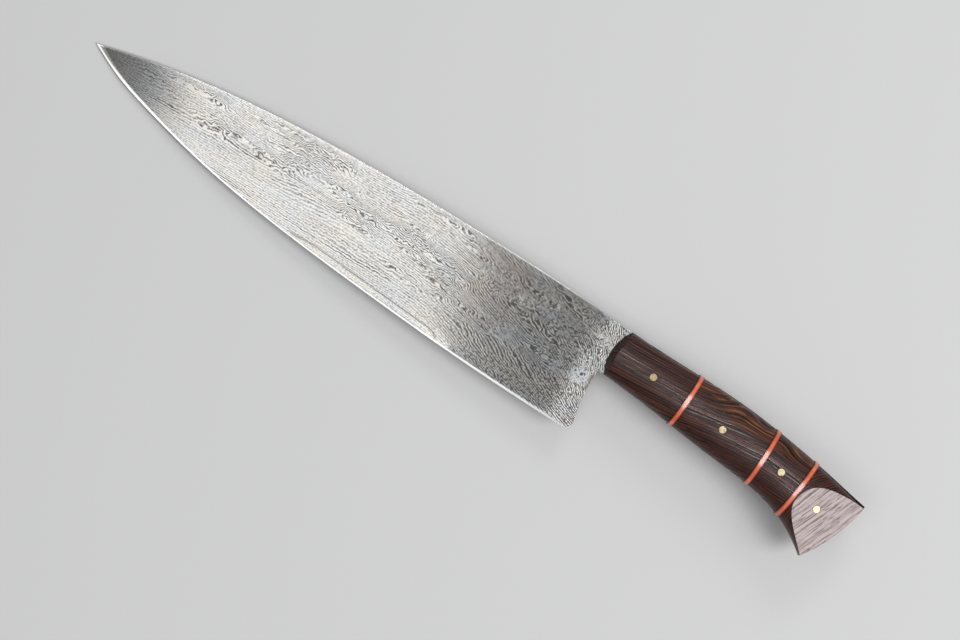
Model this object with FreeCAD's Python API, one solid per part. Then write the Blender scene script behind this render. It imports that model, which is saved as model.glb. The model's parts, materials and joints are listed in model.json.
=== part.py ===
import FreeCAD, Part
import math
import os

from FreeCAD import Placement, Rotation, Vector

# A full-tang kitchen knife, in millimetres. While it is built, X runs from the front of the
# handle to the tip, Y from the spine to the cutting edge, and Z out of the blade's left side,
# with the centre plane of the steel at Z 0. lay_down() then rests it on its handle and tip.

# Blade
blade_length = 257.0  # front of the handle to the tip
heel_depth = 49.2  # cutting edge at the heel, below the top line of the handle
tip_depth = 15.2  # point of the blade, below the same line
spine_rise = 2.8  # highest part of the spine, above the same line
neck_rise = 0.5  # spine at the front of the handle, above the same line
neck_depth = 20.8  # underside of the neck, where the handle begins
neck_reach = 3.4  # front of the handle to the back edge of the heel, at the neck
heel_back = 0.5  # the same, at the bottom of the heel
heel_hollow = 0.8  # depth of the shallow curve in the heel's back edge
heel_corner = 4.2  # radius of the corner at the bottom of the heel

# Thickness of the steel
tang_thickness = 3.0
neck_thickness = 2.9  # blade at the spine, at the front of the handle
heel_thickness = 0.7  # blade just above the edge bevel, at the heel
tip_thickness = 1.0
edge_thickness = 0.1  # what the stone leaves at the very edge
edge_angle = 13.0  # of each edge bevel, in degrees
neck_front = 4.5  # full thickness of the tang ends this far past the handle
neck_arc = 44.5  # radius of the rounded end of that full thickness
neck_slope = 8.0  # slope that runs it out into the blade's side, in degrees
spine_round = 0.35  # rounded corners of the spine

# Handle
handle_length = 124.0  # front of the handle to the top point of the butt
front_thickness = 19.0
butt_thickness = 23.0
section_fullness = 2.6  # 2 is an ellipse, and more is nearer to a rounded rectangle
front_arc = 20.6  # radius of the bowed front end of the wood
front_reach = 2.9  # how far that bow reaches over the blade
front_depth = 11.0  # middle of that bow, below the top line
front_slope = 15.0  # lean of the front end, in degrees
butt_lean = 13.2  # top point of the butt to its bottom point, along the handle
butt_depth = 42.7  # bottom point of the butt, below the top line
butt_bow = 2.2  # the butt's end bows out by this much
facet_slope = 17.0  # slope of the flat ground on each side of the butt, in degrees
facet_end = 4.0  # its distance from the centre plane, at the end of the butt

# Spacers and pins
spacer_thickness = 2.2
spacer_rise = 0.4  # how far the spacers stand proud of the wood
pin_diameter = 3.175
pin_clearance = 0.02  # all round, for the glue

# Outline of the spine: share of the blade's length, share of the rise above the top line
SPINE = [(0.10, 0.75), (0.26, 1.0), (0.46, 0.78), (0.65, -0.11), (0.80, -1.64)]

# Outline of the edge: share of the blade's length, share of the way up from heel to tip
EDGE = [(0.20, 0.035), (0.40, 0.124), (0.60, 0.256), (0.745, 0.415), (0.87, 0.63), (0.945, 0.805)]

# Handle sections: share of its length, top and bottom below the top line, share of the
# swell from the thickness at the front to the thickness at the butt
SECTIONS = [
    (-0.05, -1.0, 20.2, 0.0),
    (0.10, -0.4, 21.9, 0.1),
    (0.30, -0.2, 24.5, 0.3),
    (0.50, 0.7, 27.0, 0.5),
    (0.63, 2.4, 28.7, 0.65),
    (0.76, 4.7, 32.9, 0.8),
    (0.835, 6.3, 37.5, 0.9),
    (0.895, 7.7, 42.7, 0.95),
    (1.02, 10.5, 55.0, 1.0),
]

# Spacers, front to back: share of the handle's length, lean in degrees
SPACERS = [("front", 0.289, 3.0), ("middle", 0.614, 1.5), ("rear", 0.787, 7.0)]

# Pins: share of the handle's length, depth below the top line
PINS = [("front", 0.142, 10.8), ("middle", 0.438, 14.2), ("rear", 0.686, 16.4), ("butt", 0.859, 21.8)]

SECTION_STEPS = 16  # points around one side of a handle section
CARRIED_ON = 0.5  # how far the edge's curve is carried on past its ends, for cutting its bevel
SEGMENTS = ["front", "middle", "rear", "butt"]
SIDES = {"left": 1, "right": -1}

FAR = 400.0  # longer than the knife, for cutting tools
THICK = 40.0  # thicker than the knife, for cutting tools
FINE = 0.02  # how closely the knife is measured before it is laid down
UP = Vector(0, 0, 1)


def smooth(points):
    """A smooth curve through points."""
    curve = Part.BSplineCurve()
    curve.interpolate(points)
    return curve


def between(curve, start, end):
    """The stretch of a curve from one of its points to another, as an edge."""
    first = curve.parameter(start)
    last = curve.parameter(end)
    return curve.toShape(min(first, last), max(first, last))


def prism(edges, bottom, top):
    """A closed outline on the centre plane, drawn out from one height to another."""
    wire = Part.Wire(Part.sortEdges(edges)[0])
    face = Part.Face(wire)
    face.translate(UP * bottom)
    return face.extrude(UP * (top - bottom))


def below_plane(point, normal):
    """A large block whose top face passes through point, square to normal."""
    block = Part.makeBox(2 * FAR, 2 * FAR, FAR, Vector(-FAR, -FAR, -FAR))
    block.Placement = Placement(point, Rotation(UP, normal))
    return block


def mirrored(shape):
    """The same shape on the other side of the centre plane."""
    return shape.mirror(Vector(0, 0, 0), UP)


# ---- Blade ----

TIP = Vector(blade_length, tip_depth, 0)
HEEL = Vector(heel_back + heel_corner, heel_depth, 0)


def edge_points():
    """Points of the cutting edge, carried on a little past the heel and past the tip."""
    rise = heel_depth - tip_depth
    points = [Vector(x * blade_length, heel_depth - share * rise, 0) for x, share in EDGE]
    behind = HEEL + (HEEL - points[0]) * CARRIED_ON
    beyond = TIP + (TIP - points[-1]) * CARRIED_ON
    return [behind, HEEL] + points + [TIP, beyond]


def blade_outline():
    """The outline of the blade and its neck, which reaches back under the handle."""
    spine = [Vector(share * blade_length, -rise * spine_rise, 0) for share, rise in SPINE]
    neck_top = Vector(-neck_reach, -neck_rise, 0)
    neck_bottom = Vector(-neck_reach, neck_depth, 0)
    neck_corner = Vector(neck_reach, neck_depth, 0)
    heel_top = Vector(heel_back, heel_depth - heel_corner, 0)
    hollow = (neck_corner + heel_top) * 0.5 + Vector(heel_hollow, 0, 0)
    turn = HEEL + Vector(-math.sin(math.pi / 4), math.cos(math.pi / 4) - 1, 0) * heel_corner
    edge = smooth(edge_points())
    return [
        smooth([neck_top] + spine + [TIP]).toShape(),
        between(edge, HEEL, TIP),
        Part.Arc(HEEL, turn, heel_top).toShape(),
        Part.Arc(heel_top, hollow, neck_corner).toShape(),
        Part.makeLine(neck_corner, neck_bottom),
        Part.makeLine(neck_bottom, neck_top),
    ]


def blade_side():
    """A point on the left side of the blade and its normal: one flat that thins to edge and tip."""
    spine = Vector(0, -neck_rise, neck_thickness / 2)
    heel = Vector(HEEL.x, HEEL.y, heel_thickness / 2)
    tip = Vector(TIP.x, TIP.y, tip_thickness / 2)
    normal = (tip - spine).cross(heel - spine)
    return spine, normal.normalize()


def offset_edge(distance, height):
    """The cutting edge moved square to itself, outwards by distance, at a height, with a far frame."""
    points = edge_points()
    edge = smooth(points)
    moved = []
    for point in points:
        along = edge.tangent(edge.parameter(point))[0]
        moved.append(point + Vector(-along.y, along.x, 0) * distance + UP * height)
    frame = [moved[-1], Vector(FAR, FAR, height), Vector(moved[0].x, FAR, height), moved[0]]
    lines = [Part.makeLine(frame[k], frame[k + 1]) for k in range(3)]
    return Part.Wire([smooth(moved).toShape()] + lines)


def edge_waste():
    """What the edge bevel takes off the left side, as a solid outside the cutting edge."""
    run = 1 / math.tan(math.radians(edge_angle))
    low = offset_edge(edge_thickness / 2 * run, 0)
    high = offset_edge((edge_thickness / 2 - neck_thickness) * run, neck_thickness)
    return Part.makeLoft([low, high], True, True)


def neck_form():
    """The full thickness of the neck, with a rounded end that slopes down into the blade's sides."""
    half = tang_thickness / 2
    run_out = half / math.tan(math.radians(neck_slope))
    centre = Vector(neck_front - neck_arc, neck_depth / 2, 0)
    left = Part.makeCone(neck_arc + run_out, neck_arc, half, centre, UP)
    return left.fuse(mirrored(left))


def is_spine(edge):
    """Whether an edge of the blade is one of the two long corners of the spine."""
    return edge.Length > blade_length / 2 and edge.CenterOfMass.y < tip_depth


def make_blade(handle):
    """Blade and full tang in one piece, with the pin holes."""
    blank = prism(blade_outline(), -tang_thickness, tang_thickness)
    point, normal = blade_side()
    side = below_plane(point, normal)
    blade = blank.common(side).common(mirrored(side))
    blade = blade.makeFillet(spine_round, [edge for edge in blade.Edges if is_spine(edge)])
    waste = edge_waste()
    blade = blade.cut(waste).cut(mirrored(waste))
    blade = blade.fuse(blank.common(neck_form()))
    half = tang_thickness / 2
    core = Part.makeBox(FAR, 2 * FAR, tang_thickness, Vector(-FAR, -FAR, -half))
    blade = blade.fuse(handle.common(core)).removeSplitter()
    for name, share, depth in PINS:
        blade = blade.cut(pin_rod(share, depth, pin_clearance))
    return blade


# ---- Handle ----


def section(share, top, bottom, swell, rise):
    """The section at a share of the handle's length, standing proud of the wood by a rise all round."""
    across = (bottom - top) / 2 + rise
    half = (front_thickness + swell * (butt_thickness - front_thickness)) / 2 + rise
    centre = Vector(-share * handle_length, (top + bottom) / 2, 0)
    left = []
    for step in range(SECTION_STEPS + 1):
        turn = math.pi * step / SECTION_STEPS
        out = math.copysign(abs(math.cos(turn)) ** (2 / section_fullness), math.cos(turn))
        up = math.sin(turn) ** (2 / section_fullness) if 0 < step < SECTION_STEPS else 0
        left.append(centre + Vector(0, across * out, half * up))
    rim = Part.BSplineCurve()
    rim.interpolate(Points=left, InitialTangent=UP, FinalTangent=-UP)
    return Part.Wire([rim.toShape(), mirrored(rim.toShape())])


def butt_end():
    """The bowed end of the butt: its middle, and the direction square to it, outwards."""
    top = Vector(-handle_length, SECTIONS[-1][1], 0)
    bottom = Vector(butt_lean - handle_length, butt_depth, 0)
    chord = bottom - top
    outward = Vector(-chord.y, chord.x, 0).normalize()
    return (top + bottom) * 0.5, outward, chord.Length / 2


def butt_form():
    """Everything in front of the butt's bowed end."""
    middle, outward, half = butt_end()
    radius = (half**2 + butt_bow**2) / (2 * butt_bow)
    centre = middle + outward * (butt_bow - radius)
    bow = Part.makeCylinder(radius, 2 * THICK, centre - UP * THICK, UP)
    front = Part.makeBox(FAR, 2 * FAR, 2 * THICK, Vector(centre.x, -FAR, -THICK))
    return bow.fuse(front)


def butt_facet():
    """Everything under the flat that slopes down to the end of the butt, on the left side."""
    middle, outward, half = butt_end()
    slope = math.radians(facet_slope)
    normal = UP * math.cos(slope) + outward * math.sin(slope)
    return below_plane(middle + outward * butt_bow + UP * facet_end, normal)


def make_handle(rise=0.0):
    """The handle's outer shape as one solid, with its rounded sides moved out by a rise."""
    handle = Part.makeLoft([section(*row, rise) for row in SECTIONS], True, False)
    facet = butt_facet()
    return handle.common(butt_form()).common(facet).common(mirrored(facet))


def front_form():
    """Everything behind the bowed and leaning front end of the wood, on the left side."""
    centre = Vector(front_reach - front_arc, front_depth, tang_thickness / 2)
    height = front_thickness
    drawn_in = height * math.tan(math.radians(front_slope))
    bow = Part.makeCone(front_arc, front_arc - drawn_in, height)
    bow.rotate(Vector(), UP, 180)
    bow.translate(centre)
    behind = Part.makeBox(FAR, 2 * FAR, THICK, Vector(centre.x - FAR, -FAR, centre.z))
    return bow.fuse(behind).removeSplitter()


def spacer_faces():
    """The front and back face of each spacer: where it meets the top line, and its lean."""
    faces = []
    for name, share, lean in SPACERS:
        angle = math.radians(lean)
        half = spacer_thickness / 2 / math.cos(angle)
        faces.append((half - share * handle_length, math.tan(angle)))
        faces.append((-half - share * handle_length, math.tan(angle)))
    return faces


def band(front, back):
    """The left side of the handle's space between two leaning faces."""
    corners = [
        Vector(front[0] - front[1] * FAR, -FAR, 0),
        Vector(front[0] + front[1] * FAR, FAR, 0),
        Vector(back[0] + back[1] * FAR, FAR, 0),
        Vector(back[0] - back[1] * FAR, -FAR, 0),
    ]
    edges = [Part.makeLine(corners[k - 1], corners[k]) for k in range(4)]
    return prism(edges, tang_thickness / 2, THICK)


def pin_rod(share, depth, clearance=0.0):
    """A rod along Z where a pin goes, longer than the handle is thick."""
    foot = Vector(-share * handle_length, depth, -THICK)
    return Part.makeCylinder(pin_diameter / 2 + clearance, 2 * THICK, foot, UP)


def make_wood(space, wood):
    """The left side's wood in one space, with the holes of the pins."""
    piece = wood.common(space)
    for name, share, depth in PINS:
        piece = piece.cut(pin_rod(share, depth, pin_clearance))
    return piece


def make_grip(handle):
    """The wood and spacers of the left side, as a list of (name, solid)."""
    faces = [(FAR, 0.0)] + spacer_faces() + [(-FAR, 0.0)]
    spaces = [band(faces[k], faces[k + 1]) for k in range(len(faces) - 1)]
    wood = handle.common(front_form())
    proud = make_handle(spacer_rise)
    pieces = [(name + "_scale", make_wood(space, wood)) for name, space in zip(SEGMENTS, spaces[0::2])]
    return pieces + [(name + "_spacer", proud.common(space)) for name, space in zip(SEGMENTS, spaces[1::2])]


def make_pins(handle):
    """The pins, ground flush with both sides of the handle."""
    return [(name + "_pin", handle.common(pin_rod(share, depth))) for name, share, depth in PINS]


def make_knife():
    """Every piece of the knife, by name."""
    handle = make_handle()
    knife = {"blade": make_blade(handle)}
    for name, piece in make_grip(handle):
        knife["left_" + name] = piece
        knife["right_" + name] = mirrored(piece)
    for name, pin in make_pins(handle):
        knife[name] = pin
    return knife


def lay_down(knife):
    """Rests the knife on the front of its handle and its tip, with the origin under its middle."""
    lean = math.asin((front_thickness - tip_thickness) / 2 / blade_length)
    turn = Rotation(Vector(0, 1, 0), math.degrees(lean))
    for shape in knife.values():
        shape.Placement = Placement(Vector(), turn).multiply(shape.Placement)
    box = FreeCAD.BoundBox()
    for shape in knife.values():
        for point in shape.tessellate(FINE)[0]:
            box.add(point)
    shift = Vector(-box.Center.x, -box.Center.y, -box.ZMin)
    for shape in knife.values():
        shape.translate(shift)


knife = make_knife()
lay_down(knife)
os.makedirs("parts", exist_ok=True)
for name, shape in knife.items():
    shape.exportStep("parts/" + name + ".step")
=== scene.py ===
"""Finishes, light and camera for a handmade full-tang kitchen knife lying on a pale floor."""
import json
import logging
import math
from dataclasses import dataclass, field, replace
from enum import Enum

import bpy
from mathutils import Matrix, Quaternion, Vector

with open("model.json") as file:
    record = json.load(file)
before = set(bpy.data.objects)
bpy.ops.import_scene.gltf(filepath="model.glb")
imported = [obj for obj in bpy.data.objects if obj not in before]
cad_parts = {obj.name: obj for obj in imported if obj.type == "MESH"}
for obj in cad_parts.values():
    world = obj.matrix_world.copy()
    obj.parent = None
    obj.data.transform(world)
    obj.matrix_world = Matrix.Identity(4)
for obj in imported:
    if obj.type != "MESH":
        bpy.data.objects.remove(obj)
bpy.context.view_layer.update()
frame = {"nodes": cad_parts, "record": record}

Triple = tuple[float, float, float]
Colour = Triple
Stops = tuple[tuple[float, Colour], ...]
Curve = tuple[tuple[float, float], ...]
Socket = bpy.types.NodeSocket
Value = float | Socket
Filling = Value | Triple | Vector

log = logging.getLogger("knife")
MM = 0.001
CORNER_RAYS = 4


class Segment(Enum):
    """The four lengths of wood along each side of the handle, front to back."""

    FRONT = "front"
    MIDDLE = "middle"
    REAR = "rear"
    BUTT = "butt"


class Lights(Enum):
    """What a lamp falls on."""

    ALL = "all"
    WOOD = "wood"
    PINS = "pins"


class Side(Enum):
    """The two sides of the handle."""

    LEFT = "left"
    RIGHT = "right"


@dataclass(frozen=True)
class KnifeAxes:
    """The knife's own axes, in millimetres: X runs to the tip, Y to the edge and Z out of the left side.

    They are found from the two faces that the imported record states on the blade.
    """

    face_x: float = 95.0
    face_y: float = 20.0

    def lean(self) -> float:
        """The angle by which the blade falls towards the tip, in radians."""
        left, right = self._faces()
        normal = Vector(left["axis"]) - Vector(right["axis"])
        return math.atan2(normal.x, normal.z)

    def origin(self) -> Vector:
        """The top of the handle's front end, on the centre plane, in metres."""
        left, right = self._faces()
        middle = (Vector(left["pos_m"]) + Vector(right["pos_m"])) / 2
        return middle - self._turn() @ (Vector((self.face_x, self.face_y, 0.0)) * MM)

    def place(self, x: float, y: float, z: float = 0.0) -> Vector:
        """Where a point of the knife, given in millimetres, is in the frame, in metres."""
        return self.origin() + self._turn() @ (Vector((x, y, z)) * MM)

    def into_frame(self) -> Triple:
        """The rotation that a Mapping node needs to turn a direction of the knife into the frame's axes."""
        return (0.0, self.lean(), 0.0)

    def into_knife(self) -> tuple[Vector, Triple, float]:
        """The location, rotation and scale that a Mapping node needs to give these axes."""
        back = Matrix.Rotation(-self.lean(), 3, "Y")
        return -(back @ self.origin()) / MM, (0.0, -self.lean(), 0.0), 1 / MM

    def _turn(self) -> Matrix:
        """The rotation from the knife's axes to the frame's."""
        return Matrix.Rotation(self.lean(), 3, "Y")

    @staticmethod
    def _faces() -> tuple[dict, dict]:
        """The record's left and right blade faces."""
        mounts = {mount["name"]: mount for mount in frame["record"]["mounts"]}
        return mounts["left_blade_face"], mounts["right_blade_face"]


@dataclass(frozen=True)
class Grain:
    """A cloudy pattern: the size of one cloud along, down and through the knife, in millimetres."""

    along: float
    down: float
    through: float
    detail: float = 2.0
    roughness: float = 0.5
    swirl: float = 0.0
    shift: float = 0.0


@dataclass(frozen=True)
class Bands:
    """Uneven bands: how many to a unit, and how they break up."""

    rate: float
    detail: float = 2.0
    roughness: float = 0.6


@dataclass(frozen=True)
class Fade:
    """A smooth change: nothing at the first value, and the whole share at the second."""

    none: float
    full: float
    share: float = 1.0


@dataclass(frozen=True)
class Spot:
    """A round place on the knife: its middle and its radius, in millimetres."""

    x: float
    y: float
    radius: float


@dataclass(frozen=True)
class Mark:
    """Round marks of one kind: their colour, strength, how far their rims stray, and where they are."""

    colour: Colour
    share: float
    strays: float
    mottled: bool
    spots: tuple[Spot, ...]


CORNER = Fade(0.995, 0.88)


class Graph:
    """A material's nodes, with short calls for what the finishes are made of."""

    def __init__(self, name: str, on_knife: bool = True) -> None:
        """Starts a material with one Principled shader.

        Args:
            name: the material's name.
            on_knife: whether it needs the knife's own coordinates.
        """
        self.axes = KnifeAxes()
        self.material = bpy.data.materials.new(name)
        self.material.use_nodes = True
        self.tree = self.material.node_tree
        self.shader = self.tree.nodes["Principled BSDF"]
        self.point = None
        self.normal = None
        if on_knife:
            self._take_axes()

    def _take_axes(self) -> None:
        """Adds the knife's own coordinates and surface direction."""
        location, rotation, scale = self.axes.into_knife()
        source = self.add("ShaderNodeTexCoord").outputs
        mapping = self.add(
            "ShaderNodeMapping", Vector=source["Object"],
            Location=location, Rotation=rotation, Scale=(scale,) * 3,
        )
        self.point = mapping.outputs[0]
        turned = self.add("ShaderNodeMapping", Vector=source["Normal"], Rotation=rotation)
        turned.vector_type = "NORMAL"
        self.normal = turned.outputs[0]

    def add(self, kind: str, **values: Filling) -> bpy.types.Node:
        """Adds a node and fills its inputs, by name, with underscores for spaces."""
        node = self.tree.nodes.new(kind)
        for name, value in values.items():
            self.feed(node.inputs[name.replace("_", " ")], value)
        return node

    def set(self, **values: Filling) -> None:
        """Fills the shader's inputs, by name, with underscores for spaces."""
        for name, value in values.items():
            self.feed(self.shader.inputs[name.replace("_", " ")], value)

    def feed(self, socket: Socket, value: Filling) -> None:
        """Links a socket to another node's output, or sets it to a plain number, vector or colour."""
        if isinstance(value, Socket):
            self.tree.links.new(value, socket)
        elif socket.type == "RGBA":
            socket.default_value = (*value, 1.0)
        else:
            socket.default_value = value

    def math(self, operation: str, *values: Value, clamp: bool = False) -> Socket:
        """One step of arithmetic.

        Args:
            operation: the Math node's operation.
            values: its inputs, in order.
            clamp: whether the result is kept between 0 and 1.

        Returns:
            The result's socket.
        """
        node = self.add("ShaderNodeMath")
        node.operation = operation
        node.use_clamp = clamp
        for socket, value in zip(node.inputs, values):
            self.feed(socket, value)
        return node.outputs[0]

    def vectors(self, operation: str, output: str, *values: Filling) -> Socket:
        """One step of arithmetic on vectors, and the named output of it."""
        node = self.add("ShaderNodeVectorMath")
        node.operation = operation
        for socket, value in zip(node.inputs, values):
            self.feed(socket, value)
        return node.outputs[output]

    def plus(self, *values: Value) -> Socket:
        """The sum of several values."""
        total = values[0]
        for value in values[1:]:
            total = self.math("ADD", total, value)
        return total

    def times(self, *values: Value) -> Socket:
        """The product of several values."""
        product = values[0]
        for value in values[1:]:
            product = self.math("MULTIPLY", product, value)
        return product

    def less(self, value: Value, taken: Value) -> Socket:
        """What is left of a value when another is taken from it."""
        return self.math("SUBTRACT", value, taken)

    def most(self, first: Value, second: Value) -> Socket:
        """The larger of two values."""
        return self.math("MAXIMUM", first, second)

    def split(self, vector: Socket) -> list[Socket]:
        """The X, Y and Z of a vector."""
        node = self.add("ShaderNodeSeparateXYZ")
        self.feed(node.inputs[0], vector)
        return list(node.outputs)

    def vector(self, x: Value, y: Value, z: Value) -> Socket:
        """A vector from its three parts."""
        node = self.add("ShaderNodeCombineXYZ")
        for socket, value in zip(node.inputs, (x, y, z)):
            self.feed(socket, value)
        return node.outputs[0]

    def grain(self, recipe: Grain, point: Value | None = None, seed: float = 0.0) -> Socket:
        """A cloudy pattern from 0 to 1.

        Args:
            recipe: the size of its clouds and how they break up.
            point: where it is read, if not in the knife's own axes.
            seed: a further shift, to make one piece unlike the next.

        Returns:
            The value's socket.
        """
        mapping = self.add(
            "ShaderNodeMapping",
            Vector=self.point if point is None else point,
            Scale=(1 / recipe.along, 1 / recipe.down, 1 / recipe.through),
            Location=(recipe.shift + seed,) * 3,
        )
        node = self.add(
            "ShaderNodeTexNoise", Vector=mapping.outputs[0], Scale=1.0,
            Detail=recipe.detail, Roughness=recipe.roughness, Distortion=recipe.swirl,
        )
        return node.outputs[0]

    def turned(self, point: Value, angle: float) -> Socket:
        """A point's coordinates after a turn about Z, in degrees."""
        rotation = (0.0, 0.0, math.radians(angle))
        return self.add("ShaderNodeMapping", Vector=point, Rotation=rotation).outputs[0]

    def bands(self, along: Value, recipe: Bands) -> Socket:
        """Uneven bands from 0 to 1, from noise along one number."""
        node = self.add("ShaderNodeTexNoise", Scale=1.0, Detail=recipe.detail, Roughness=recipe.roughness)
        node.noise_dimensions = "1D"
        self.feed(node.inputs["W"], self.times(along, recipe.rate))
        return node.outputs[0]

    def fade(self, value: Value, change: Fade) -> Socket:
        """How far a value is through a smooth change.

        Args:
            value: what is compared.
            change: the values where it is at nothing and at full.

        Returns:
            The socket of how much of it there is.
        """
        (low, start), (high, end) = sorted(((change.none, 0.0), (change.full, change.share)))
        node = self.add(
            "ShaderNodeMapRange", Value=value, From_Min=low, From_Max=high, To_Min=start, To_Max=end
        )
        node.interpolation_type = "SMOOTHSTEP"
        return node.outputs[0]

    def about(self, value: Value, strength: Value) -> Socket:
        """A pattern of 0 to 1 turned into a push of that strength to either side of nothing."""
        return self.times(self.less(value, 0.5), strength)

    def past(self, value: Value, ease: float) -> Socket:
        """A value where it is above nothing, and nothing where it isn't, with the turn between them eased."""
        root = self.math("SQRT", self.plus(self.times(value, value), ease * ease))
        return self.times(self.plus(value, root), 0.5)

    def waves(self, count: Value) -> Socket:
        """Even waves from -1 to 1, one to a unit."""
        return self.math("SINE", self.times(count, math.tau))

    def ramp(self, value: Value, stops: Stops) -> Socket:
        """A colour for each value.

        Args:
            value: from 0 to 1.
            stops: places and their colours, in order.

        Returns:
            The colour's socket.
        """
        node = self.add("ShaderNodeValToRGB")
        elements = node.color_ramp.elements
        while len(elements) < len(stops):
            elements.new(0.5)
        for element, (place, colour) in zip(elements, stops):
            element.position = place
            element.color = (*colour, 1.0)
        self.feed(node.inputs[0], value)
        return node.outputs[0]

    def mix(self, share: Value, first: Filling, second: Filling, how: str = "MIX") -> Socket:
        """Blends two colours.

        Args:
            share: 0 for the first, 1 for the second.
            first: a colour or its socket.
            second: a colour or its socket.
            how: the Mix node's blend type.

        Returns:
            The colour's socket.
        """
        node = self.add("ShaderNodeMix")
        node.data_type = "RGBA"
        node.blend_type = how
        self.feed(node.inputs[0], share)
        self.feed(node.inputs[6], first)
        self.feed(node.inputs[7], second)
        return node.outputs[2]

    def blend(self, share: Value, first: Value, second: Value) -> Socket:
        """Blends two numbers: 0 for the first, 1 for the second."""
        node = self.add("ShaderNodeMix")
        self.feed(node.inputs[0], share)
        self.feed(node.inputs[2], first)
        self.feed(node.inputs[3], second)
        return node.outputs[0]

    def length(self, across: Value, down: Value) -> Socket:
        """The length of a line that reaches so far across and so far down."""
        return self.math("SQRT", self.plus(self.times(across, across), self.times(down, down)))

    def distance(self, x: float, y: float) -> Socket:
        """The distance, in millimetres, from a line along Z through a point of the knife."""
        px, py, _ = self.split(self.point)
        return self.length(self.less(px, x), self.less(py, y))

    def raised(self, count: Value, spots: tuple[Spot, ...], rise: float) -> Value:
        """A count that rises by so much towards the middle of each round place."""
        for spot in spots:
            swell = self.fade(self.distance(spot.x, spot.y), Fade(spot.radius, 0.0, rise))
            count = self.plus(count, swell)
        return count

    def outline(self, x: Value, points: Curve) -> Socket:
        """How far down a smooth outline of the blade is.

        Args:
            x: along the blade.
            points: its points, as distances along and down, in millimetres.

        Returns:
            The distance's socket.
        """
        node = self.add("ShaderNodeFloatCurve")
        length = points[-1][0]
        low = min(down for _, down in points)
        deep = max(down for _, down in points) - low
        knots = node.mapping.curves[0].points
        while len(knots) < len(points):
            knots.new(0.5, 0.5)
        for knot, (along, down) in zip(knots, points):
            knot.location = (along / length, (down - low) / deep)
            knot.handle_type = "AUTO"
        node.mapping.update()
        self.feed(node.inputs["Value"], self.math("DIVIDE", x, length))
        return self.plus(self.times(node.outputs[0], deep), low)

    def between(self, share: Value, first: Value, second: Value) -> Socket:
        """A direction between two directions: 0 for the first, 1 for the second."""
        node = self.add("ShaderNodeMix")
        node.data_type = "VECTOR"
        self.feed(node.inputs[0], share)
        self.feed(node.inputs[4], first)
        self.feed(node.inputs[5], second)
        return self.vectors("NORMALIZE", "Vector", node.outputs[1])

    def facing(self, direction: Vector) -> Socket:
        """How nearly the surface faces a direction of the knife: 1 where it does."""
        return self.vectors("DOT_PRODUCT", "Value", self.normal, direction)

    def squareness(self) -> Socket:
        """How squarely the surface faces out of the side that it is on: 1 where it does."""
        return self.math("ABSOLUTE", self.split(self.normal)[2])

    def eased(self, radius: float) -> Socket:
        """The surface's direction with its corners rounded by a radius in millimetres."""
        node = self.add("ShaderNodeBevel", Radius=radius * MM)
        node.samples = CORNER_RAYS
        return node.outputs[0]

    def corners(self, rounded: Socket, share: float) -> Socket:
        """Where the surface turns from its rounded direction: 0 on the flat, the whole share at an edge."""
        sharp = self.add("ShaderNodeNewGeometry").outputs["Normal"]
        return self.fade(self.vectors("DOT_PRODUCT", "Value", rounded, sharp), replace(CORNER, share=share))

    def relief(self, height: Value, over: Socket | None = None) -> None:
        """Gives the shader a relief.

        Args:
            height: in millimetres.
            over: the surface's direction below it, if it is rounded.
        """
        node = self.add("ShaderNodeBump", Strength=1.0, Distance=MM, Height=height)
        if over is not None:
            self.feed(node.inputs["Normal"], over)
        self.set(Normal=node.outputs[0])


@dataclass(frozen=True)
class OnBlade:
    """Where a point of the steel is, in millimetres, and how near the neck and heel it is, from 0 to 1."""

    x: Value
    y: Value
    z: Value
    to_edge: Value
    from_spine: Value
    neck: Value
    heel: Value


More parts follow.
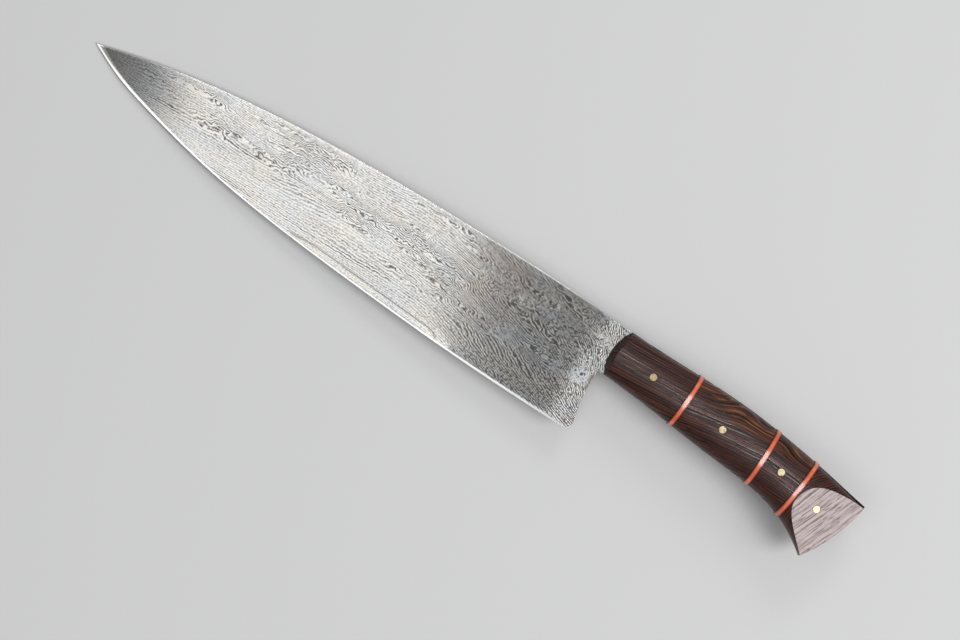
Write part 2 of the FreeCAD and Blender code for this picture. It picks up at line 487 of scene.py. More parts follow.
@dataclass(frozen=True)
class LayeredSteel:
    """Pattern-welded steel, etched.

    Its layers run along the blade, swirl in its middle, bend down at the neck and show edge-on at the spine.
    """

    tones: Stops = ((0.10, (0.12, 0.12, 0.122)), (0.42, (0.40, 0.397, 0.388)), (0.80, (0.68, 0.67, 0.64)))
    hues: Stops = ((0.36, (0.955, 0.975, 1.0)), (0.62, (1.0, 0.975, 0.95)))
    hue_clouds: Grain = Grain(20, 11, 20, detail=1.0, shift=29.0)
    ground: Colour = (0.88, 0.88, 0.87)
    middle_tone: float = 0.60

    layer: float = 0.85
    swell: Grain = Grain(60, 16, 60, detail=1.0, roughness=0.4, swirl=0.3)
    swell_layers: float = 8.0
    ripple: Grain = Grain(8.0, 3.8, 15, swirl=0.8, shift=3.0)
    ripple_turn: float = 28.0
    ripple_layers: float = 5.0
    quiver: Grain = Grain(2.8, 1.6, 8, detail=1.0, shift=9.0)
    quiver_layers: float = 1.1
    slant: float = 0.40
    slant_x: float = 78.0
    slant_ease: float = 15.0
    look_beside: float = 0.25
    steep: Fade = Fade(0.45, 1.0)
    calm: Fade = Fade(5.0, 22.0)
    calm_share: float = 0.25
    spine_calm: Fade = Fade(0.6, 3.0)
    knots: Grain = Grain(34, 10, 34, shift=13.0)
    knots_show: Fade = Fade(0.44, 0.60)
    eyes: tuple[Spot, ...] = (
        Spot(94.5, 10.0, 3.4), Spot(66.0, 12.0, 3.0), Spot(57.0, 15.0, 3.6), Spot(48.0, 13.0, 2.8),
        Spot(33.0, 7.0, 2.6), Spot(8.5, 8.0, 2.4), Spot(129.0, 9.0, 2.6), Spot(176.0, 11.0, 2.4),
    )
    eye_layers: float = 4.0
    bend_x: float = 13.5
    bend_y: float = 17.8
    bend_ease: float = 6.0
    bend_low: Fade = Fade(48.0, 18.0)

    groups: Bands = Bands(0.27)
    line_strength: float = 0.28
    group_strength: float = 0.33
    plain_contrast: float = 0.58
    patches: Grain = Grain(30, 10, 30, detail=3.0, roughness=0.6, shift=4.0)
    patch_contrast: Fade = Fade(0.36, 0.66, share=0.60)
    heel: Fade = Fade(80.0, 35.0)
    heel_contrast: float = 1.3
    heel_dark: float = 0.15
    heel_lift: Colour = (1.32, 1.32, 1.32)
    calm_contrast: float = 0.6
    thread: Fade = Fade(-0.1, -0.9, share=-0.42)
    rare: Bands = Bands(0.13)
    rare_show: Fade = Fade(0.44, 0.36)
    rare_breaks: Grain = Grain(28, 3.0, 28, detail=1.0, shift=33.0)
    rare_breaks_show: Fade = Fade(0.42, 0.54)
    sparkle: Grain = Grain(0.9, 0.75, 3.0, detail=1.0, shift=17.0)
    sparkle_strength: float = 0.95
    heel_sparkle: float = 1.9
    blotches: Grain = Grain(2.6, 1.8, 9.0, roughness=0.6, shift=41.0)
    blotch_strength: float = 0.90
    scratches: Grain = Grain(42, 0.4, 2.0, detail=3.0, roughness=0.7)
    scratch_strength: float = 0.26
    clouds: Grain = Grain(22, 14, 22, detail=3.0, roughness=0.55, shift=7.0)
    cloud_strength: float = 0.28
    side_on: Fade = Fade(0.85, 0.55)
    side_layer: float = 0.36
    side_wander: Grain = Grain(26, 26, 1.6, shift=19.0)
    side_wander_layers: float = 1.6
    side_contrast: float = 0.13

    edge: Curve = (
        (0.0, 49.2), (51.0, 48.0), (103.0, 45.0), (154.0, 40.5),
        (191.0, 35.1), (223.5, 27.8), (243.0, 21.8), (257.0, 15.2),
    )
    spine: Curve = (
        (0.0, -0.9), (25.7, -2.1), (66.8, -2.8), (118.2, -2.2), (167.0, 0.3), (205.6, 4.6), (257.0, 15.2),
    )
    # bright ground steel along the spine, partly a painted highlight on the spine's edge
    spine_ground_and_highlight: Fade = Fade(0.95, 0.35, share=0.75)
    bevel_height: float = 1.4
    bevel_ends: Fade = Fade(4.2, 2.8)
    bevel_tilt: Fade = Fade(0.992, 0.985)
    spine_tilt: Fade = Fade(0.90, 0.94)
    honed: Fade = Fade(1.6, 0.6)
    roll_height: float = 4.5
    roll_drop: float = 0.40
    roll_starts: Fade = Fade(62.0, 76.0)
    roll_ends: Fade = Fade(165.0, 125.0)
    layer_relief: float = 0.003
    scratch_relief: float = 0.004
    spine_round: float = 0.3
    corner_wear: float = 0.8
    rough: tuple[float, float] = (0.13, 0.08)
    rough_ground: float = 0.22

    neck_rise: Fade = Fade(21.0, 7.0)
    neck_covers: Fade = Fade(24.5, 23.5)
    neck_slope: float = 2.1
    neck_patches: Grain = Grain(7.0, 5.0, 12.0, detail=3.0, roughness=0.6, shift=61.0)
    neck_strays: float = 9.0
    neck_strength: float = 0.52
    neck_rate: float = 0.75
    neck_dark: float = 0.08
    flat_tilt: Fade = Fade(0.975, 0.985)
    face: Triple = (0.00236, 0.0219, 0.99976)

    ragged: Grain = Grain(3.0, 2.5, 9.0, detail=3.0, roughness=0.6)
    rim_inside: float = 0.6
    rim_outside: float = 1.3
    mottle: Fade = Fade(0.30, 0.50)
    stains: Mark = Mark(
        (0.40, 0.31, 0.27), 0.24, 6.0, False,
        (Spot(59.0, 21.0, 11.0), Spot(53.0, 6.0, 8.0), Spot(66.0, 2.0, 7.0)),
    )
    rusts: Mark = Mark((0.20, 0.135, 0.10), 0.8, 1.8, True, (Spot(3.4, 25.4, 2.2), Spot(3.0, 29.0, 1.4)))
    scar: Mark = Mark((0.70, 0.715, 0.745), 1.0, 6.0, True, (Spot(8.8, 26.4, 4.2),))
    pale: Mark = Mark(
        (0.74, 0.74, 0.77), 0.55, 3.6, True,
        (
            Spot(44.5, 28.5, 3.6), Spot(31.6, 11.3, 1.6), Spot(26.5, 8.5, 1.3), Spot(20.0, 30.0, 3.0),
            Spot(94.5, 10.0, 1.3),
        ),
    )
    pits: Mark = Mark(
        (0.03, 0.03, 0.035), 0.9, 0.48, False,
        (Spot(8.3, 25.6, 0.7), Spot(7.2, 25.0, 0.45), Spot(11.4, 25.6, 0.45), Spot(9.0, 27.4, 0.3)),
    )
    # painted shade: the colour is darkened towards the tip, standing in for a dark reflection there
    tip: tuple[float, float] = (250.0, 24.0)
    tip_strays: float = 6.0
    tip_fades: Fade = Fade(52.0, 14.0, share=0.87)
    tip_painted_shade: Colour = (0.33, 0.33, 0.34)

    def make(self) -> bpy.types.Material:
        """Builds the material."""
        graph = Graph("layered_steel")
        at = self._place(graph)
        scratches = graph.grain(self.scratches)
        sparkle = graph.grain(self.sparkle)
        tone = graph.plus(
            self._layers(graph, at),
            graph.about(scratches, self.scratch_strength),
            graph.about(sparkle, graph.plus(self.sparkle_strength, graph.times(at.heel, self.heel_sparkle))),
            graph.about(graph.grain(self.blotches), graph.times(at.heel, self.blotch_strength)),
            graph.times(at.heel, -self.heel_dark),
            graph.about(graph.grain(self.clouds), self.cloud_strength),
        )
        tone = graph.blend(graph.fade(graph.squareness(), self.side_on), tone, self._edge_on(graph, at.z))
        hue = graph.ramp(graph.grain(self.hue_clouds), self.hues)
        colour = graph.mix(1.0, graph.ramp(tone, self.tones), hue, "MULTIPLY")
        colour = self._marks(graph, graph.mix(at.heel, colour, self.heel_lift, "MULTIPLY"), sparkle)
        bevel = self._bevel(graph, at.to_edge)
        rounded = graph.eased(self.spine_round)
        # partly painted highlight: a strip of bright ground steel along the spine, joined with the worn
        # corners and the honed edge
        top = graph.fade(at.from_spine, self.spine_ground_and_highlight)
        worn_and_highlight = graph.most(top, graph.corners(rounded, self.corner_wear))
        worn_and_highlight = graph.most(worn_and_highlight, graph.times(bevel, graph.fade(at.to_edge, self.honed)))
        graph.set(Base_Color=graph.mix(worn_and_highlight, colour, self.ground), Metallic=1.0)
        graph.set(Roughness=graph.blend(bevel, graph.blend(tone, *self.rough), self.rough_ground))
        height = graph.plus(
            graph.times(tone, self.layer_relief),
            graph.times(scratches, self.scratch_relief),
            self._roll(graph, at),
        )
        graph.relief(height, self._neck_direction(graph, at, rounded))
        return graph.material

    def _place(self, graph: Graph) -> OnBlade:
        """Finds where on the blade a point is."""
        x, y, z = graph.split(graph.point)
        strays = graph.about(graph.grain(self.neck_patches), self.neck_strays)
        return OnBlade(
            x, y, z,
            to_edge=graph.less(graph.outline(x, self.edge), y),
            from_spine=graph.less(y, graph.outline(x, self.spine)),
            neck=graph.fade(graph.plus(x, strays), self.neck_rise),
            heel=graph.fade(x, self.heel),
        )

    def _layers(self, graph: Graph, at: OnBlade) -> Socket:
        """The tone of the etched layers on the blade's faces, from dark to bright.

        Args:
            graph: the material's nodes.
            at: where on the blade.

        Returns:
            The tone's socket.
        """
        inner = graph.fade(at.to_edge, self.calm)
        knots = graph.times(graph.fade(graph.grain(self.knots), self.knots_show), inner)
        knots = graph.times(knots, graph.fade(at.from_spine, self.spine_calm))
        count = self._layer_count(graph, at, inner, knots)
        steep = graph.fade(self._steepness(graph, at, knots), self.steep)
        lines = graph.waves(count)
        contrast = graph.plus(
            self.plain_contrast,
            graph.fade(graph.grain(self.patches), self.patch_contrast),
            graph.times(at.heel, self.heel_contrast),
        )
        contrast = graph.times(contrast, graph.blend(inner, self.calm_contrast, 1.0))
        pattern = graph.plus(
            graph.times(lines, self.line_strength, steep),
            graph.about(graph.bands(count, self.groups), self.group_strength),
        )
        rare = graph.times(
            graph.fade(graph.bands(count, self.rare), self.rare_show),
            graph.fade(graph.grain(self.rare_breaks), self.rare_breaks_show),
        )
        threads = graph.times(graph.fade(lines, self.thread), graph.most(knots, rare), steep)
        broad = graph.times(graph.waves(graph.times(count, self.neck_rate)), at.neck, self.neck_strength)
        darker = graph.times(at.neck, -self.neck_dark)
        return graph.plus(self.middle_tone, graph.times(pattern, contrast), threads, broad, darker)

    def _layer_count(self, graph: Graph, at: OnBlade, inner: Value, knots: Value) -> Socket:
        """Which layer the grinding has reached, as a number that the pattern follows.

        Args:
            graph: the material's nodes.
            at: where on the blade.
            inner: 0 near the edge, where the layers lie calm, and 1 further in.
            knots: how much the layers swirl here.

        Returns:
            The number's socket.
        """
        before = graph.past(graph.less(self.bend_x, at.x), self.bend_ease)
        above = graph.past(graph.less(self.bend_y, at.y), self.bend_ease)
        bend = graph.less(graph.length(before, above), above)
        bent = graph.less(at.y, graph.times(bend, graph.fade(at.y, self.bend_low)))
        count = graph.plus(
            graph.math("DIVIDE", bent, self.layer),
            graph.times(graph.past(graph.less(self.slant_x, at.x), self.slant_ease), -self.slant),
            graph.times(graph.grain(self.swell), graph.blend(inner, self.calm_share, 1.0), self.swell_layers),
            graph.times(self._ripple(graph, graph.point), knots, self.ripple_layers),
            graph.times(graph.grain(self.quiver), self.quiver_layers),
        )
        return graph.raised(count, self.eyes, self.eye_layers)

    def _ripple(self, graph: Graph, point: Value) -> Socket:
        """The swirls at a point, which lie aslant to the blade."""
        return graph.grain(self.ripple, graph.turned(point, self.ripple_turn))

    def _steepness(self, graph: Graph, at: OnBlade, knots: Value) -> Socket:
        """How many layers the surface cuts through in a millimetre, which is few where a swirl lies flat.

        Args:
            graph: the material's nodes.
            at: where on the blade.
            knots: how much the layers swirl here.

        Returns:
            The number's socket.
        """
        here = self._ripple(graph, graph.point)
        along = self._ripple(graph, graph.vector(graph.plus(at.x, self.look_beside), at.y, at.z))
        down = self._ripple(graph, graph.vector(at.x, graph.plus(at.y, self.look_beside), at.z))
        rise = graph.times(knots, self.ripple_layers / self.look_beside)
        rise_along = graph.times(graph.less(along, here), rise)
        rise_down = graph.plus(graph.times(graph.less(down, here), rise), 1 / self.layer)
        return graph.length(rise_along, rise_down)

    def _edge_on(self, graph: Graph, z: Value) -> Socket:
        """The tone of the layers where they show edge-on, as fine lines side by side."""
        wander = graph.times(graph.grain(self.side_wander), self.side_wander_layers)
        lines = graph.waves(graph.plus(graph.math("DIVIDE", z, self.side_layer), wander))
        return graph.plus(self.middle_tone, graph.times(lines, self.side_contrast))

    def _roll(self, graph: Graph, at: OnBlade) -> Socket:
        """How far the face rolls over towards its edge bevel, in millimetres, most in the rear half."""
        above = graph.less(at.to_edge, self.bevel_height)
        roll = graph.math("SUBTRACT", 1.0, graph.math("DIVIDE", above, self.roll_height), clamp=True)
        where = graph.times(graph.fade(at.x, self.roll_starts), graph.fade(at.x, self.roll_ends))
        return graph.times(roll, roll, where, -self.roll_drop)

    def _bevel(self, graph: Graph, to_edge: Value) -> Socket:
        """Where the edge is ground bright, on the faces that lean like the edge bevel."""
        lean = graph.squareness()
        leaning = graph.times(graph.fade(lean, self.bevel_tilt), graph.fade(lean, self.spine_tilt))
        return graph.times(leaning, graph.fade(to_edge, self.bevel_ends))

    def _neck_direction(self, graph: Graph, at: OnBlade, rounded: Value) -> Socket:
        """The surface's direction, with the flat hollowed smoothly out of the neck, as grinding leaves it.

        Args:
            graph: the material's nodes.
            at: where on the blade.
            rounded: the surface's direction everywhere else.

        Returns:
            The direction's socket.
        """
        face_x, face_y, face_z = self.face
        hollow = graph.vector(
            graph.plus(graph.times(at.neck, math.tan(math.radians(self.neck_slope))), face_x),
            face_y,
            graph.times(graph.math("SIGN", at.z), face_z),
        )
        turned = graph.add("ShaderNodeMapping", Vector=hollow, Rotation=graph.axes.into_frame())
        turned.vector_type = "VECTOR"
        flat = graph.fade(graph.squareness(), self.flat_tilt)
        share = graph.times(flat, graph.fade(at.x, self.neck_covers))
        return graph.between(share, rounded, turned.outputs["Vector"])

    def _marks(self, graph: Graph, colour: Value, sparkle: Value) -> Socket:
        """Adds what use has left: stains and a pale scar with its pits by the heel; then darkens the tip with
        painted shade, in place of a dark reflection.

        Args:
            graph: the material's nodes.
            colour: the steel's colour so far.
            sparkle: the steel's finest mottling.

        Returns:
            The colour's socket.
        """
        ragged = graph.grain(self.ragged)
        mottle = graph.fade(sparkle, self.mottle)
        for mark in (self.stains, self.rusts, self.scar, self.pale, self.pits):
            share = graph.times(mottle, mark.share) if mark.mottled else mark.share
            strays = graph.about(ragged, mark.strays)
            for spot in mark.spots:
                reach = graph.plus(graph.distance(spot.x, spot.y), strays)
                rim = Fade(spot.radius * self.rim_outside, spot.radius * self.rim_inside)
                colour = graph.mix(graph.times(graph.fade(reach, rim), share), colour, mark.colour)
        # painted shade at the tip, in place of a dark reflection
        reach = graph.plus(graph.distance(*self.tip), graph.about(ragged, self.tip_strays))
        return graph.mix(graph.fade(reach, self.tip_fades), colour, self.tip_painted_shade, "MULTIPLY")


@dataclass(frozen=True)
class DarkWood:
    """Oiled dark hardwood in one length of the handle: fine, straight grain, with orange figure in some."""

    segment: Segment
    turn: float
    heart: tuple[float, float]
    wander: float
    seed: float
    figure: float = 0.0
    swirls: tuple[Spot, ...] = ()
    swirl_rings: float = 3.5

    blackish: Colour = (0.006, 0.0025, 0.002)
    tones: Stops = ((0.44, blackish), (0.51, (0.025, 0.0072, 0.005)), (0.60, (0.086, 0.026, 0.015)))
    ring_width: float = 1.05
    waver: Grain = Grain(30, 8, 8)
    broad: Bands = Bands(0.42, detail=1.0, roughness=0.5)
    fine: Bands = Bands(2.1, detail=3.0, roughness=0.65)
    streaks: Grain = Grain(30, 0.55, 0.55, detail=4.0, roughness=0.65)
    broad_share: float = 0.15
    fine_share: float = 0.50
    streak_share: float = 0.35
    ring_share: float = 0.05

    pores: Grain = Grain(5.0, 0.34, 0.34, shift=5.0)
    pores_show: Fade = Fade(0.62, 0.72)
    pore_dark: float = 0.75
    pore_rough: float = 0.2
    pore_depth: float = 0.03
    line_fine: float = 0.65
    line_streaks: float = 0.35
    lines_show: Fade = Fade(0.43, 0.57)
    line_relief: float = 0.022
    rough: tuple[float, float] = (0.46, 0.20)
    sheen: float = 0.23
    rim_round: float = 0.6

    amber: Colour = (0.175, 0.066, 0.023)
    amber_bands: Bands = Bands(0.85)
    amber_lines: Fade = Fade(0.46, 0.60)
    amber_patches: Grain = Grain(16, 4, 6, shift=2.0)
    amber_shows: Fade = Fade(0.38, 0.56)
    amber_sags: float = 8.0
    amber_ends: Fade = Fade(16.0, 9.0)

    facet: Triple = (-0.2708, 0.1101, 0.9563)
    on_facet: Fade = Fade(0.992, 0.998)
    # the flat's pale colours: partly dry sanded wood, partly a painted sheen of the light it reflects
    sanded_with_sheen: Stops = ((0.41, (0.15, 0.115, 0.11)), (0.53, (0.42, 0.355, 0.35)))
    sanded_bands: Bands = Bands(1.3, detail=3.0)
    dust: Grain = Grain(6.0, 0.5, 0.5, detail=3.0, roughness=0.7, shift=2.0)
    dust_share: float = 0.5
    flecks: Grain = Grain(2.6, 0.7, 0.7, shift=6.0)
    flecks_show: Fade = Fade(0.63, 0.71, share=0.75)
    fleck: Colour = (0.08, 0.055, 0.05)
    rough_sanded: float = 0.55

    pins: tuple[Spot, ...] = (
        Spot(-17.6, 10.8, 1.59), Spot(-54.3, 14.2, 1.59), Spot(-85.1, 16.4, 1.59), Spot(-106.5, 21.8, 1.59),
    )
    glue_width: float = 0.22
    glue_share: float = 0.85

    def make(self) -> bpy.types.Material:
        """Builds the material."""
        graph = Graph(f"dark_wood_{self.segment.value}")
        point = self._along_the_grain(graph)
        rings = self._rings(graph, point)
        fine = graph.bands(rings, self.fine)
        streaks = graph.grain(self.streaks, point, self.seed)
        tone = graph.plus(
            graph.times(graph.bands(rings, self.broad), self.broad_share),
            graph.times(fine, self.fine_share),
            graph.times(streaks, self.streak_share),
            graph.times(graph.waves(rings), self.ring_share),
        )
        colour = graph.ramp(tone, self.tones)
        if self.figure:
            colour = graph.mix(self._figure(graph, rings, point), colour, self.amber)
        pores = graph.fade(graph.grain(self.pores, point, self.seed), self.pores_show)
        colour = graph.mix(graph.times(pores, self.pore_dark), colour, self.blackish)
        lines = graph.plus(graph.times(fine, self.line_fine), graph.times(streaks, self.line_streaks))
        lines = graph.fade(lines, self.lines_show)
        rough = graph.plus(graph.blend(lines, *self.rough), graph.times(pores, self.pore_rough))
        if self.segment is Segment.BUTT:
            flat = self._flat(graph)
            # the flat's pale colour is partly dry wood and partly a painted sheen
            colour = graph.mix(flat, colour, self._sanded_with_sheen(graph, rings, point))
            rough = graph.blend(flat, rough, self.rough_sanded)
        colour = graph.mix(self._glue(graph), colour, self.blackish)
        graph.set(Base_Color=colour, Roughness=rough, Specular_IOR_Level=self.sheen)
        height = graph.plus(graph.times(lines, self.line_relief), graph.times(pores, -self.pore_depth))
        graph.relief(height, graph.eased(self.rim_round))
        return graph.material

    def _along_the_grain(self, graph: Graph) -> Socket:
        """The knife's coordinates, turned so that X runs along this length's fibres on both sides."""
        x, y, z = graph.split(graph.point)
        return graph.turned(graph.vector(x, y, graph.math("ABSOLUTE", z)), self.turn)

    def _rings(self, graph: Graph, point: Value) -> Socket:
        """The growth ring at a point along the grain, counted from the tree's heart."""
        _, down, through = graph.split(point)
        heart_down, heart_up = self.heart
        radius = graph.length(graph.less(down, heart_down), graph.less(through, heart_up))
        waver = graph.grain(self.waver, point, self.seed)
        rings = graph.plus(graph.math("DIVIDE", radius, self.ring_width), graph.times(waver, self.wander))
        return graph.raised(rings, self.swirls, self.swirl_rings)

    def _figure(self, graph: Graph, rings: Value, point: Value) -> Socket:
        """How much orange streaks show, over the spine side of the wood.

        Args:
            graph: the material's nodes.
            rings: the growth ring at a point.
            point: the place, along the grain.

        Returns:
            The share's socket.
        """
        place = graph.grain(self.amber_patches, point, self.seed)
        y = graph.split(graph.point)[1]
        upper = graph.fade(graph.plus(y, graph.times(place, self.amber_sags)), self.amber_ends)
        lines = graph.fade(graph.bands(rings, self.amber_bands), self.amber_lines)
        return graph.times(lines, upper, graph.fade(place, self.amber_shows), self.figure)

    def _flat(self, graph: Graph) -> Socket:
        """Where the butt's flat is, which is sand-finished and left dry, and paler partly from a painted
        sheen: 1 on it, on both sides.
        """
        x, y, z = self.facet
        left = graph.fade(graph.facing(Vector((x, y, z))), self.on_facet)
        right = graph.fade(graph.facing(Vector((x, y, -z))), self.on_facet)
        return graph.most(left, right)

    def _sanded_with_sheen(self, graph: Graph, rings: Value, point: Value) -> Socket:
        """The dry wood's colour, pale partly from a painted sheen of reflected light, with fine lines and
        dark flecks along its grain.

        Args:
            graph: the material's nodes.
            rings: the growth ring at a point.
            point: the place, along the grain.

        Returns:
            The colour's socket.
        """
        lines = graph.bands(rings, self.sanded_bands)
        tone = graph.blend(self.dust_share, lines, graph.grain(self.dust, point))
        flecks = graph.fade(graph.grain(self.flecks, point), self.flecks_show)
        return graph.mix(flecks, graph.ramp(tone, self.sanded_with_sheen), self.fleck)

    def _glue(self, graph: Graph) -> Socket:
        """A thin dark ring round each pin, where glue fills the hole."""
        rings = 0.0
        for pin in self.pins:
            rim = Fade(pin.radius + self.glue_width, pin.radius, self.glue_share)
            rings = graph.most(rings, graph.fade(graph.distance(pin.x, pin.y), rim))
        return rings


@dataclass(frozen=True)
class BrightSpacer:
    """Polished orange-red plastic, a little cloudy, with painted shade along its rounded cut sides."""

    tones: Stops = ((0.40, (0.53, 0.088, 0.030)), (0.74, (0.68, 0.19, 0.080)))
    # deep: the colour of the painted shade on the spacer's rounded sides
    deep: Colour = (0.13, 0.018, 0.010)
    clouds: Grain = Grain(3.0, 5.0, 5.0, detail=3.0, roughness=0.55)
    scuffs: Grain = Grain(9.0, 0.3, 0.3, detail=3.0, roughness=0.65, shift=3.0)
    scuff_relief: float = 0.003
    corner_round: float = 0.7
    middles: Curve = ((-35.84, 3.0), (-76.14, 1.5), (-97.59, 7.0))
    # sides: how the painted shade grows from the spacer's middle out to its sides
    sides: Fade = Fade(0.40, 0.95, share=0.88)
    rough: tuple[float, float] = (0.18, 0.36)
    glow: float = 0.10
    glow_depth: Triple = (0.001, 0.0004, 0.0002)
    coat: float = 0.3
    coat_rough: float = 0.14

    def make(self) -> bpy.types.Material:
        """Builds the material."""
        graph = Graph("bright_spacer")
        colour = graph.ramp(graph.grain(self.clouds), self.tones)
        # painted shade: darkens the colour towards each spacer's sides
        colour = graph.mix(graph.fade(self._off_middle(graph), self.sides), colour, self.deep)
        scuffs = graph.grain(self.scuffs)
        graph.set(Base_Color=colour, Roughness=graph.blend(scuffs, *self.rough))
        graph.set(Subsurface_Weight=self.glow, Subsurface_Radius=self.glow_depth)
        graph.set(Coat_Weight=self.coat, Coat_Roughness=self.coat_rough)
        graph.relief(graph.times(scuffs, self.scuff_relief), graph.eased(self.corner_round))
        return graph.material

    def _off_middle(self, graph: Graph) -> Socket:
        """How far a point is from the middle of its spacer's width, in millimetres."""
        x, y, _ = graph.split(graph.point)
        nearest = None
        for place, lean in self.middles:
            angle = math.radians(lean)
            across = graph.plus(x, -place, graph.times(y, -math.tan(angle)))
            off = graph.math("ABSOLUTE", graph.times(across, math.cos(angle)))
            nearest = off if nearest is None else graph.math("MINIMUM", nearest, off)
        return nearest


@dataclass(frozen=True)
class GroundBrass:
    """Brass rod ground flush with the wood: pale, with fine marks and a little tarnish, and painted shade
    that darkens the front and butt pins.
    """

    clean: Colour = (0.80, 0.70, 0.43)
    tarnished: Colour = (0.46, 0.33, 0.15)
    clouds: Grain = Grain(1.3, 1.3, 6.0, detail=3.0, roughness=0.6)
    tarnish: Fade = Fade(0.50, 0.72)
    # painted shade: the front and butt pins are darkened in colour, standing in for how they catch the light
    front: Fade = Fade(-45.0, -25.0, share=0.6)
    butt: Fade = Fade(-95.0, -102.0, share=0.3)
    scratches: Grain = Grain(1.6, 0.12, 0.5, roughness=0.7)
    scratch_relief: float = 0.003
    corner_round: float = 0.2
    corner_dull: float = 0.5
    rough: tuple[float, float] = (0.20, 0.36)

    def make(self) -> bpy.types.Material:
        """Builds the material."""
        graph = Graph("ground_brass")
        scratches = graph.grain(self.scratches)
        colour = graph.mix(graph.fade(graph.grain(self.clouds), self.tarnish), self.clean, self.tarnished)
        rounded = graph.eased(self.corner_round)
        x = graph.split(graph.point)[0]
        # painted shade on the front and butt pins, joined with real tarnish at the rims
        tarnish_and_shade = graph.plus(graph.fade(x, self.front), graph.fade(x, self.butt))
        tarnish_and_shade = graph.most(tarnish_and_shade, graph.corners(rounded, self.corner_dull))
        colour = graph.mix(tarnish_and_shade, colour, self.tarnished)
        graph.set(Base_Color=colour, Metallic=1.0, Roughness=graph.blend(scratches, *self.rough))
        graph.relief(graph.times(scratches, self.scratch_relief), rounded)
        return graph.material


@dataclass(frozen=True)
class PaleFloor:
    """A plain pale floor with a faint, even tooth."""

    colour: Colour = (0.72, 0.72, 0.725)
    rough: float = 0.85
    tooth: float = 0.02
    tooth_rate: float = 900.0

    def make(self) -> bpy.types.Material:
        """Builds the material."""
        graph = Graph("pale_floor", on_knife=False)
        place = graph.add("ShaderNodeTexCoord").outputs["Object"]
        grain = graph.add("ShaderNodeTexNoise", Vector=place, Scale=self.tooth_rate)
        graph.set(Base_Color=self.colour, Roughness=self.rough)
        graph.relief(graph.times(grain.outputs[0], self.tooth))
        return graph.material


def dress(node: str, material: bpy.types.Material) -> None:
    """Gives a CAD node its finish."""
    piece = frame["nodes"][node]
    for slot in piece.material_slots:
        slot.material = material
    log.info("%s: %s", node, material.name)


@dataclass
class Blade:
    """The blade and full tang, one forging."""

    finish: LayeredSteel = field(default_factory=LayeredSteel)

    def build(self) -> None:
        """Dresses the forging."""
        dress("blade", self.finish.make())


@dataclass
class Grip:
    """Wood and spacers on both sides of the tang."""

    woods: tuple[DarkWood, ...] = (
        DarkWood(Segment.FRONT, turn=-3.0, heart=(-16.0, 3.0), wander=2.0, seed=11.0),
        DarkWood(
            Segment.MIDDLE, turn=-8.0, heart=(-14.0, 5.0), wander=3.0, seed=23.0,
            figure=0.9, swirls=(Spot(-58.0, -1.0, 15.0),),
        ),
        DarkWood(
            Segment.REAR, turn=4.0, heart=(-24.0, 4.0), wander=3.0, seed=37.0,
            figure=1.0, swirls=(Spot(-80.0, 1.0, 12.0),),
        ),
        DarkWood(Segment.BUTT, turn=-68.0, heart=(40.0, -30.0), wander=1.5, seed=51.0),
    )
    spacer: BrightSpacer = field(default_factory=BrightSpacer)

    def build(self) -> None:
        """Dresses every length of wood and every spacer."""
        bright = self.spacer.make()
        for wood in self.woods:
            dark = wood.make()
            name = wood.segment.value
            for side in Side:
                dress(f"{side.value}_{name}_scale", dark)
                if wood.segment is not Segment.BUTT:
                    dress(f"{side.value}_{name}_spacer", bright)


@dataclass
class Pins:
    """The four brass pins."""

    finish: GroundBrass = field(default_factory=GroundBrass)

    def build(self) -> None:
        """Dresses the pins."""
        brass = self.finish.make()
        for segment in Segment:
            dress(f"{segment.value}_pin", brass)


@dataclass(frozen=True)
class Softbox:
    """One large soft lamp, aimed at a point of the floor, or straight down."""

    name: str
    place: Triple
    size: tuple[float, float]
    watts: float
    lights: Lights = Lights.ALL
    turn: float = 0.0
    aim: Triple | None = None

    def build(self, groups: dict[Lights, bpy.types.Collection]) -> None:
        """Hangs the lamp.

        Args:
            groups: the pieces that a lamp falls on, where it is flagged off the rest.
        """
        lamp = bpy.data.lights.new(self.name, "AREA")
        lamp.shape = "RECTANGLE"
        lamp.size, lamp.size_y = self.size
        lamp.energy = self.watts
        holder = bpy.data.objects.new(self.name, lamp)
        holder.location = self.place
        gaze = Vector(self.aim or (*self.place[:2], 0.0)) - Vector(self.place)
        turn = Quaternion((0.0, 0.0, 1.0), math.radians(self.turn))
        holder.rotation_euler = (gaze.to_track_quat("-Z", "Y") @ turn).to_euler()
        if self.lights is not Lights.ALL:
            holder.light_linking.receiver_collection = groups[self.lights]
        bpy.context.scene.collection.objects.link(holder)
        log.info("%s: %.2f W", self.name, self.watts)


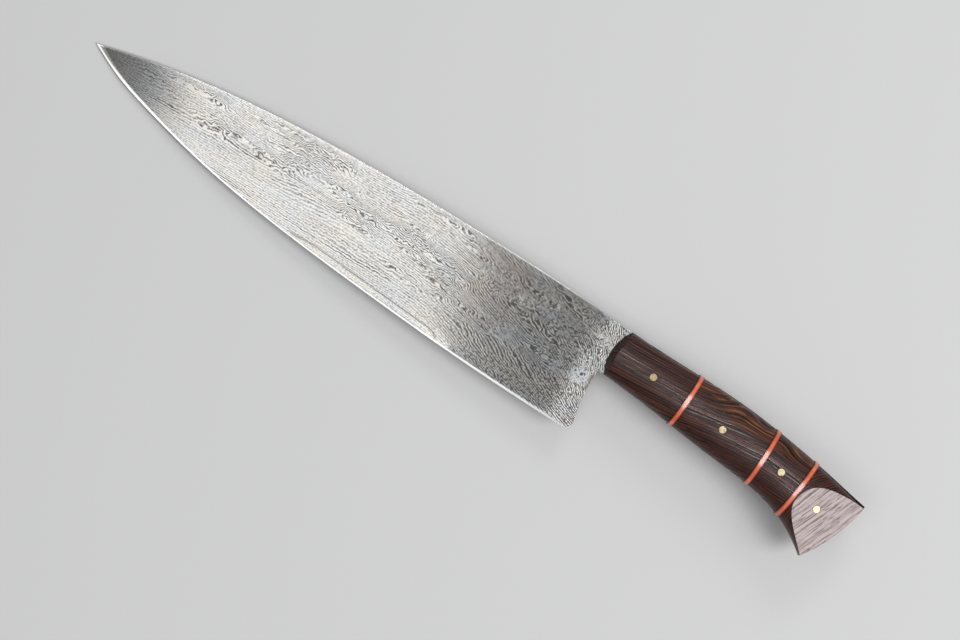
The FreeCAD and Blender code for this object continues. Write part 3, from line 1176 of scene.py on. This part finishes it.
@dataclass
class Studio:
    """The floor, the light and the camera."""

    floor: PaleFloor = field(default_factory=PaleFloor)
    floor_size: float = 6.0
    surround: Colour = (0.34, 0.342, 0.345)
    lamps: tuple[Softbox, ...] = (
        Softbox("tip_box", (0.094, 0.04, 1.05), (0.225, 0.40), 0.30, turn=9.0),
        Softbox("edge_box", (0.26, 0.52, 1.05), (0.70, 0.48), 1.2),
        Softbox("wood_box", (-0.22, -0.02, 1.05), (0.34, 0.34), 4.6, Lights.WOOD),
        Softbox("pin_box", (-0.27, -0.02, 1.05), (0.17, 0.30), 0.30, Lights.PINS),
        Softbox("spine_box", (0.12, -1.20, 0.75), (0.55, 0.40), 2.8, aim=(0.06, 0.0, 0.0)),
        Softbox("butt_box", (-1.45, -0.25, 1.55), (1.2, 1.2), 26.0, aim=(0.0, 0.0, 0.0)),
    )
    look_x: float = 56.35
    look_y: float = 28.97
    height: float = 3.0
    towards_tip: float = 0.3
    lens: float = 265.92
    right: Triple = (-0.85045, -0.52606, 0.0)

    def build(self) -> None:
        """Sets up everything round the knife."""
        self._lay_floor()
        self._light()
        self._aim_camera()

    def _lay_floor(self) -> None:
        """Lays the floor at the knife's lowest point."""
        bpy.ops.mesh.primitive_plane_add(size=self.floor_size, location=(0.0, 0.0, 0.0))
        floor = bpy.context.object
        floor.name = "floor"
        floor.data.materials.append(self.floor.make())

    def _light(self) -> None:
        """Hangs the lamps in an even grey surround."""
        world = bpy.data.worlds.new("surround")
        world.use_nodes = True
        world.node_tree.nodes["Background"].inputs["Color"].default_value = (*self.surround, 1.0)
        bpy.context.scene.world = world
        groups = {kind: bpy.data.collections.new(kind.value) for kind in (Lights.WOOD, Lights.PINS)}
        for name, piece in frame["nodes"].items():
            if name.endswith("_pin"):
                groups[Lights.PINS].objects.link(piece)
            elif name != "blade":
                groups[Lights.WOOD].objects.link(piece)
        for lamp in self.lamps:
            lamp.build(groups)
        bpy.context.scene.view_settings.view_transform = "Standard"

    def _aim_camera(self) -> None:
        """Looks down on the knife from a little towards its tip, which is at the top left."""
        lens = bpy.data.cameras.new("camera")
        lens.lens = self.lens
        camera = bpy.data.objects.new("camera", lens)
        back = Vector((self.towards_tip, 0.0, self.height)).normalized()
        up = back.cross(Vector(self.right)).normalized()
        turn = Matrix((up.cross(back), up, back)).transposed().to_4x4()
        target = KnifeAxes().place(self.look_x, self.look_y)
        camera.matrix_world = Matrix.Translation((target.x + self.towards_tip, target.y, self.height)) @ turn
        bpy.context.scene.collection.objects.link(camera)
        bpy.context.scene.camera = camera


def main() -> None:
    """Dresses the knife from blade to pins, then sets up the studio."""
    logging.basicConfig(level=logging.INFO, format="%(name)s %(message)s")
    for piece in (Blade(), Grip(), Pins(), Studio()):
        piece.build()


if __name__ == "__main__":
    main()
